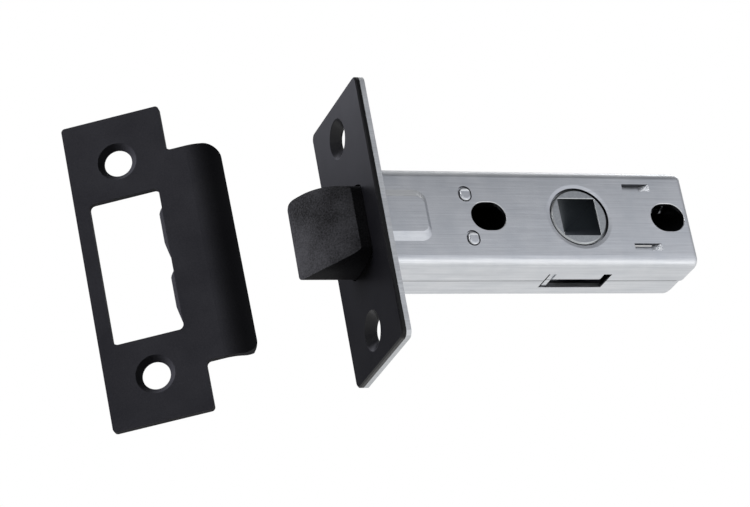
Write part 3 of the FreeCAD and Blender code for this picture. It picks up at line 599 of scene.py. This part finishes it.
def tumbled_metal(name, light_hex, dark_hex, roughness, grain_size, relief, shaded_hollow=None):
    """Metal with an even fine grain that shows in its gloss, with painted shade in a hollow if it has one.
    """
    material, tree, shader, place = new_surface(name)
    grain = noise(tree, place, size=grain_size, detail=4.0, rough=0.6)
    colour = two_tone(tree, grain, dark_hex, light_hex, FROST_FADE)
    if shaded_hollow:
        # Painted shade: the hollow's walls get a darker colour.
        colour = shaded(tree, colour, SQUARE_HOLE_SHADE_HEX, inside_box(tree, place, *shaded_hollow))
    shader.inputs["Metallic"].default_value = 1.0
    dress(tree, shader, colour, vary(tree, grain, roughness, FROST_SPREAD), grain, relief)
    return material


follower_zinc = tumbled_metal(
    "die-cast zinc follower",
    light_hex="#adb0b2",
    dark_hex="#9b9ea1",
    roughness=0.34,
    grain_size=FROST_SIZE,
    relief=0.3,
    shaded_hollow=SQUARE_HOLE,
)
spring_wire = tumbled_metal(
    "drawn steel wire",
    light_hex="#a9acb0",
    dark_hex="#8d9196",
    roughness=0.30,
    grain_size=OIL_SIZE,
    relief=0.1,
)

print("metals:", follower_zinc.name, "and", spring_wire.name)

# %% [markdown]
# # Springs
#
# In the construction model each spring is a sleeve that holds the space of its coils. Here the coils are
# made: a round wire swept along a helix, whose end turns lie close together as on a real compression
# spring. A curve with a round bevel does this well. It is turned into a mesh at the end, because a spring
# has to shorten as the bolt goes in, and only a mesh can be squashed.
#
# The wire's centre line is worked out from the sleeve's own box, so the coils fill the same space.

# %% Coil springs
POINTS_PER_TURN = 20
WIRE_ROUNDNESS = 4
CLOSED_TURNS = 1.25
CLOSED_PITCH = 1.02


def spring_line(x0, x1, y, z, radius, wire, turns):
    """Points of a compression spring's centre line along X, with closed end turns."""
    start, end = x0 + wire / 2, x1 - wire / 2
    closed = CLOSED_TURNS * wire * CLOSED_PITCH
    open_turns = turns - 2 * CLOSED_TURNS
    points = []
    for i in range(int(turns * POINTS_PER_TURN) + 1):
        turn = i / POINTS_PER_TURN
        if turn < CLOSED_TURNS:
            x = start + closed * turn / CLOSED_TURNS
        elif turn > turns - CLOSED_TURNS:
            x = end - closed * (turns - turn) / CLOSED_TURNS
        else:
            x = start + closed + (end - start - 2 * closed) * (turn - CLOSED_TURNS) / open_turns
        angle = 2 * math.pi * turn
        points.append((x, y + radius * math.cos(angle), z + radius * math.sin(angle)))
    return points


def wire_mesh(name, points, wire):
    """A round wire along a line of points, as a smooth mesh."""
    curve = bpy.data.curves.new(name, "CURVE")
    curve.dimensions = "3D"
    curve.bevel_depth = wire / 2
    curve.bevel_resolution = WIRE_ROUNDNESS
    curve.use_fill_caps = True
    spline = curve.splines.new("POLY")
    spline.points.add(len(points) - 1)
    for point, place in zip(spline.points, points):
        point.co = (*place, 1.0)
    line = bpy.data.objects.new(name, curve)
    bpy.context.scene.collection.objects.link(line)
    bpy.context.view_layer.update()
    depsgraph = bpy.context.evaluated_depsgraph_get()
    mesh = bpy.data.meshes.new_from_object(line.evaluated_get(depsgraph))
    bpy.data.objects.remove(line)
    for face in mesh.polygons:
        face.use_smooth = True
    return mesh


def coil_spring(node, wire, turns):
    """Coils in the space of one sleeve, in place of the sleeve."""
    low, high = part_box(node)
    radius = (high[2] - low[2]) / 2 - wire / 2
    y, z = (low[1] + high[1]) / 2, (low[2] + high[2]) / 2
    points = spring_line(low[0], high[0], y, z, radius, wire, turns)
    mesh = wire_mesh(node + "_line", points, wire)
    mesh.materials.append(spring_wire)
    spring = bpy.data.objects.new(node + "_coils", mesh)
    bpy.context.scene.collection.objects.link(spring)
    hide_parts(node)
    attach(spring, "case")
    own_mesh(spring)
    return spring


springs = [
    coil_spring("bolt_spring", wire=0.7 * MM, turns=9.5),
    coil_spring("upper_return_spring", wire=0.6 * MM, turns=6.5),
    coil_spring("lower_return_spring", wire=0.6 * MM, turns=6.5),
]

print("springs:", [(spring.name, len(spring.data.polygons)) for spring in springs])

# %% [markdown]
# # Finish the metal pieces
#
# No real edge is perfectly sharp: shearing, tumbling and plating all leave a tiny round that catches the
# light. A bevel modifier adds it wherever two faces meet at more than a slight angle, and leaves the model
# underneath as it is. Each piece also gets the finish of its metal. The number beside each metal is the
# width of the round, in millimetres.

# %% Edges and finishes
FINISHES = {
    "outer_forend": (forend_black, 0.08),
    "inner_forend": (edge_zinc, 0.10),
    "front_case_shell": (case_zinc, 0.08),
    "rear_case_shell": (case_zinc, 0.08),
    "spring_plate": (case_zinc, 0.08),
    "latch_bolt": (bolt_black, 0.12),
    "follower": (follower_zinc, 0.05),
    "strike_plate": (strike_black, 0.12),
    "upper_tail_arm": (case_zinc, 0.10),
    "lower_tail_arm": (case_zinc, 0.10),
    "upper_tail_rivet": (spring_wire, 0.08),
    "lower_tail_rivet": (spring_wire, 0.08),
    "upper_spring_peg": (case_zinc, 0.10),
    "lower_spring_peg": (case_zinc, 0.10),
}
SHARP_ANGLE = math.radians(28)
EDGE_STEPS = 2


def finish_piece(piece, metal, edge):
    """Gives a piece its metal and soft edges."""
    piece.data.materials.clear()
    piece.data.materials.append(metal)
    bevel = piece.modifiers.new("soft edges", "BEVEL")
    bevel.width = edge * MM
    bevel.segments = EDGE_STEPS
    bevel.limit_method = "ANGLE"
    bevel.angle_limit = SHARP_ANGLE
    bevel.harden_normals = True


for node, (metal, edge) in FINISHES.items():
    finish_piece(nodes[node], metal, edge)

print("finished:", len(FINISHES), "pieces")

# %% [markdown]
# Colour handling
#
# The Standard view shows each colour about as it is written, which suits a plain product picture.

# %% Colour handling
bpy.context.scene.view_settings.view_transform = "Standard"
